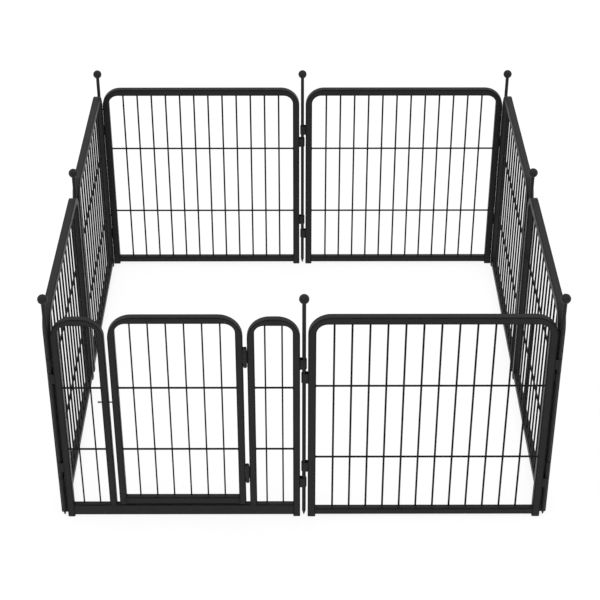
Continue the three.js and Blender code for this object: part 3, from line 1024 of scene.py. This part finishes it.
def bolt():
    mesh = bmesh.new()
    length = size_of("latch_pin").x
    head, neck, radius = bolt_head, bolt_head_length, bolt_radius
    start = neck + bolt_travel_gap + tube_wall + seat
    end = start + collar_length
    head_part = [(0.0, 0.0), (head * 0.55, 0.0), (head * 0.9, 0.5 * MM), (head, 1.3 * MM),
                 (head, neck - 0.5 * MM), (head * 0.9, neck), (radius, neck)]
    collar_part = [(radius, start), (collar_radius - collar_ease, start),
                   (collar_radius, start + collar_ease), (collar_radius, end - collar_ease),
                   (collar_radius - collar_ease, end), (radius, end)]
    nose_part = [(radius, length - 1.2 * MM), (radius * 0.75, length - 0.3 * MM),
                 (radius * 0.5, length), (0.0, length)]
    head_face = Vector((bolt_axis.x - length / 2, bolt_axis.y, bolt_axis.z))
    place = Matrix.Translation(head_face) @ Matrix.Rotation(math.pi / 2, 4, "Y")
    lathe(mesh, head_part + collar_part + nose_part, sides=28, place=place, mark=0.5)
    return settle(mesh, "bolt")


print("length of the bolt:", round(size_of("latch_pin").x, 4))


# %% Place the door panel's pieces
def door_grid(centre_x):
    return grid_piece(arch_sizes, arch_uprights, door_rail_top, centre_x)


gate_grid = grid_piece(gate_sizes, gate_uprights, gate_rail_top, gate_x)
door_pieces = {
    "door_left_tube_arch": (left_arch, "door_panel", "door_left_arch"),
    "door_right_tube_arch": (right_arch, "door_panel", "door_right_arch"),
    "door_box_rail": (rail_piece("door_bottom_rail", 0.0), "door_panel", "door_bottom_rail"),
    "door_left_grid": (door_grid(-arch_x), "door_panel", "door_left_wires"),
    "door_right_grid": (door_grid(arch_x), "door_panel", "door_right_wires"),
    "door_plug_foot_a": (foot(door_tube, -door_foot_x), "door_panel", "door_foot_a"),
    "door_plug_foot_b": (foot(door_tube, door_foot_x), "door_panel", "door_foot_b"),
    "gate_tube_frame": (gate_frame_skin(), "gate", "gate_frame"),
    "gate_box_rail": (rail_piece("gate_bottom_rail", gate_x), "gate", "gate_bottom_rail"),
    "gate_wires": (gate_grid, "gate", "gate_wire_grid"),
    "lower_hinge_pin": (hinge_pin(hinge_heights[0]), "door_panel", "gate_hinge_pin_lower"),
    "upper_hinge_pin": (hinge_pin(hinge_heights[1]), "door_panel", "gate_hinge_pin_upper"),
    "slide_bolt": (bolt(), "latch", "latch_pin"),
}
door_slots = {"door_foot_a": "plug_plastic", "door_foot_b": "plug_plastic",
              "latch_pin": "zinc_plating"}
for name, (data, body, node) in door_pieces.items():
    add_piece(name, data, body, node, door_slots.get(node, "powder_coat"), door_place)
print("door panel pieces:", len(door_pieces))

# %% [markdown]
# ## Stakes
# A stake is a round rod with a steel ball welded on its top and a point ground on its end. A
# sphere and a cylinder would meet in a hard line. One outline turned about its axis gives the
# ball, the small fillet under it, the rod and the point in one skin.

# %% The stake's outline
stake_point = 14 * MM  # length of the ground point
stake_fillet = 1.6 * MM
ball_steps = 22


def stake_outline():
    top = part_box("front_left_stake")[1].z
    ball_z = top - ball_radius
    outline = [(0.0, 0.0), (0.7 * MM, 0.3 * MM), (1.3 * MM, 1.6 * MM),
               (stake_radius - 0.25 * MM, stake_point - 0.8 * MM),
               (stake_radius, stake_point + 0.6 * MM)]
    neck = math.asin((stake_radius + stake_fillet) / ball_radius)
    neck_z = ball_z - ball_radius * math.cos(neck)
    for share in (0.0, 0.35, 0.7):
        spread = stake_fillet * share ** 2
        outline.append((stake_radius + spread, neck_z - stake_fillet * 1.5 * (1 - share)))
    for i in range(ball_steps):
        angle = neck + (math.pi - neck) * i / ball_steps
        outline.append((ball_radius * math.sin(angle), ball_z - ball_radius * math.cos(angle)))
    outline.append((0.0, top))
    return outline


print("points in the stake's outline:", len(stake_outline()))


# %% Place the eight stakes
stake_nodes = [name for name in frame["nodes"] if name.endswith("_stake")]
for node in sorted(stake_nodes):
    mesh = bmesh.new()
    lathe(mesh, stake_outline(), sides=32)
    axis = centre_of(node)
    name = node.replace("_stake", "_ball_stake")
    place = Matrix.Translation((axis.x, axis.y, 0))
    add_piece(name, settle(mesh, name), node, node, "powder_coat", place)
print("stakes placed:", len(stake_nodes))

# %% [markdown]
# ## The studio
# The pen stands on a plain white floor in a bright white room. A dark object in a white room is
# drawn by what it reflects, so the room is brighter overhead than at the horizon: upward faces
# lift a little from upright ones, and rounded edges stay crisp. The floor glows by itself, so it
# stays nearly white, and only the faintest shade shows under the rails.

# %% The floor
floor_size = 28.0


def make_floor():
    material = bpy.data.materials.new("pale_studio_floor")
    material.use_nodes = True
    nodes = material.node_tree.nodes
    shader = nodes["Principled BSDF"]
    shader.inputs["Roughness"].default_value = 0.9
    shader.inputs["Specular IOR Level"].default_value = 0.0
    shader.inputs["Base Color"].default_value = (0.16, 0.16, 0.16, 1.0)
    shader.inputs["Emission Color"].default_value = (1.0, 1.0, 1.0, 1.0)
    shader.inputs["Emission Strength"].default_value = 0.86
    half = floor_size / 2
    data = bpy.data.meshes.new("studio_floor")
    corners = [(-half, -half, 0), (half, -half, 0), (half, half, 0), (-half, half, 0)]
    data.from_pydata(corners, [], [(0, 1, 2, 3)])
    data.materials.append(material)
    floor = bpy.data.objects.new("studio_floor", data)
    bpy.context.scene.collection.objects.link(floor)
    return floor


floor = make_floor()
print("floor", floor.name)


# %% The room's light
def make_room():
    room = bpy.data.worlds.new("white_room")
    room.use_nodes = True
    bpy.context.scene.world = room
    nodes = room.node_tree.nodes
    links = room.node_tree.links
    direction = nodes.new("ShaderNodeTexCoord")
    split = nodes.new("ShaderNodeSeparateXYZ")
    links.new(direction.outputs["Generated"], split.inputs["Vector"])
    overhead = remap(nodes, links, split.outputs["Z"], -0.05, 0.9, out_low=0.85, out_high=1.05)
    links.new(overhead, nodes["Background"].inputs["Strength"])
    nodes["Background"].inputs["Color"].default_value = (1.0, 1.0, 1.0, 1.0)
    return room


def soft_box(name, place, aim, size, power):
    light = bpy.data.lights.new(name, "AREA")
    light.shape = "DISK"
    light.size = size
    light.energy = power
    lamp = bpy.data.objects.new(name, light)
    lamp.location = place
    lamp.rotation_euler = (Vector(aim) - Vector(place)).to_track_quat("-Z", "Y").to_euler()
    bpy.context.scene.collection.objects.link(lamp)
    return lamp


room = make_room()
pen_middle = (0, 0, 0.2)
key = soft_box("key_soft_box", (-2.6, -2.4, 4.4), pen_middle, size=3.4, power=30)
fill = soft_box("fill_soft_box", (3.2, -0.6, 3.8), pen_middle, size=3.0, power=14)
print("lights:", room.name, key.name, fill.name)

# %% [markdown]
# ## The camera
# The camera stands in front of the gate side and looks down over the pen with a long lens. Its
# place was found from the ring itself: eight equal panels on a square, seen in perspective, allow
# only one distance, height and tilt.

# %% Camera and picture
def make_camera():
    data = bpy.data.cameras.new("front_camera")
    data.lens = 95.06
    data.sensor_width = 36.0
    camera = bpy.data.objects.new("front_camera", data)
    camera.location = (-0.0158, -3.6975, 2.6796)
    camera.rotation_euler = (math.radians(56.739), 0.0, -0.00194)
    bpy.context.scene.collection.objects.link(camera)
    bpy.context.scene.camera = camera
    return camera


camera = make_camera()
bpy.context.scene.view_settings.view_transform = "Standard"
print("camera height", round(camera.location.z, 3))
